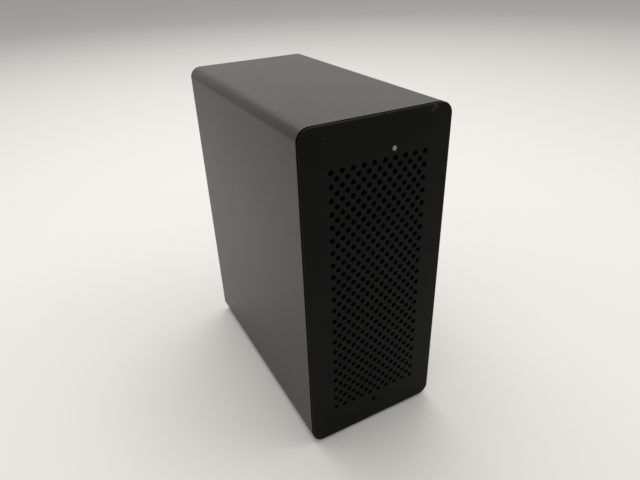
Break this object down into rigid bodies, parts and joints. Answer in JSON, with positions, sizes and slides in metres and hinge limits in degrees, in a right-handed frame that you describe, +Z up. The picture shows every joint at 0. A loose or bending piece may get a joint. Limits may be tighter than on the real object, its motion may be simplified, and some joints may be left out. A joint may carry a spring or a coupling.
{
  "type": "nvme ssd enclosure",
  "caption": "Upright desktop box for solid-state drive cards: extruded sleeve, perforated front cap, rear plate with ports and fan, and a card tray that slides out.",
  "frame": {"origin": "on the table, under the middle of the case", "axes": "+Z up, the perforated front faces -Y, +X to the right seen from the front"},
  "size_m": [0.062, 0.1164, 0.143],
  "materials": {
    "sleeve_aluminium": "bead-blasted dark grey anodising",
    "panel_plastic": "matte black moulding",
    "light_lens": "frosted clear moulding",
    "foot_rubber": "matte black rubber",
    "rear_plate": "fine black powder coat",
    "screw_steel": "black zinc plate",
    "small_screw_steel": "bright nickel plate",
    "board_laminate": "dark green solder mask",
    "drive_laminate": "black solder mask with black chips",
    "chip_resin": "matte black resin",
    "socket_plastic": "black moulding",
    "header_plastic": "cream moulding",
    "sink_aluminium": "clear anodised extrusion",
    "coil_ferrite": "grey ferrite",
    "capacitor_can": "plain aluminium can",
    "standoff_brass": "turned brass",
    "port_steel": "bright nickel plate",
    "jack_plastic": "black moulding",
    "fan_plastic": "black moulding",
    "bearing_bronze": "sintered bronze",
    "stator_iron": "stamped laminations",
    "shaft_steel": "ground steel",
    "led_resin": "pale resin package"
  },
  "bodies": {
    "case": {"outer_shell": "sleeve_aluminium", "front_panel": "panel_plastic", "light_pipe": "light_lens", "foot_front_left": "foot_rubber", "foot_front_right": "foot_rubber", "foot_rear_left": "foot_rubber", "foot_rear_right": "foot_rubber"},
    "tray": {"rear_panel": "rear_plate", "rear_screws": "screw_steel", "main_board": "board_laminate", "board_screws": "small_screw_steel", "status_led": "led_resin", "drive_socket_1": "socket_plastic", "drive_1": "drive_laminate", "drive_socket_2": "socket_plastic", "drive_2": "drive_laminate", "drive_socket_3": "socket_plastic", "drive_3": "drive_laminate", "drive_socket_4": "socket_plastic", "drive_4": "drive_laminate", "drive_standoffs": "standoff_brass", "drive_screws": "small_screw_steel", "bridge_chip": "chip_resin", "heat_sink": "sink_aluminium", "power_coils": "coil_ferrite", "capacitors": "capacitor_can", "fan_header": "header_plastic", "usb_port_1": "port_steel", "usb_port_2": "port_steel", "dc_jack": "jack_plastic", "fan_frame": "fan_plastic", "fan_bearing": "bearing_bronze", "fan_stator": "stator_iron", "fan_screws": "screw_steel"},
    "fan_rotor": {"fan_impeller": "fan_plastic", "fan_shaft": "shaft_steel"}
  },
  "joints": [
    {"name": "tray_slide", "type": "slide", "parent": "case", "child": "tray", "axis": [0, 1, 0], "range_m": [0, 0.1]},
    {"name": "fan_spin", "type": "hinge", "parent": "tray", "child": "fan_rotor", "pos_m": [0, 0.04775, 0.1048], "axis": [0, 1, 0], "continuous": true}
  ]
}
